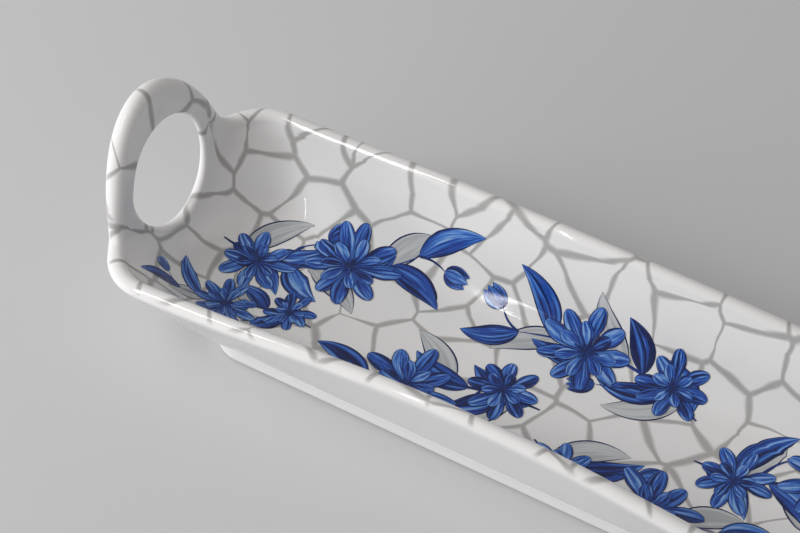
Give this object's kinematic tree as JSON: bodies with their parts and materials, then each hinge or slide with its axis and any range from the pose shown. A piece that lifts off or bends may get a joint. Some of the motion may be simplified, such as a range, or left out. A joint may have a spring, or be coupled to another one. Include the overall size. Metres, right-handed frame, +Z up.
{
  "type": "oblong serving tray",
  "caption": "Long, narrow, deep porcelain serving tray with flared walls, a rounded lip, a raised loop handle with a finger hole at each end, and a low foot.",
  "frame": {"origin": "on the table under the tray's middle", "axes": "+X along the tray towards the right handle, +Y across it, +Z up"},
  "size_m": [0.3194, 0.0994, 0.075],
  "materials": {
    "glazed_porcelain": "gloss",
    "foot_porcelain": "gloss"
  },
  "bodies": {
    "root": {"tray_body": "glazed_porcelain", "left_handle": "glazed_porcelain", "right_handle": "glazed_porcelain", "foot_ring": "foot_porcelain"}
  },
  "joints": []
}
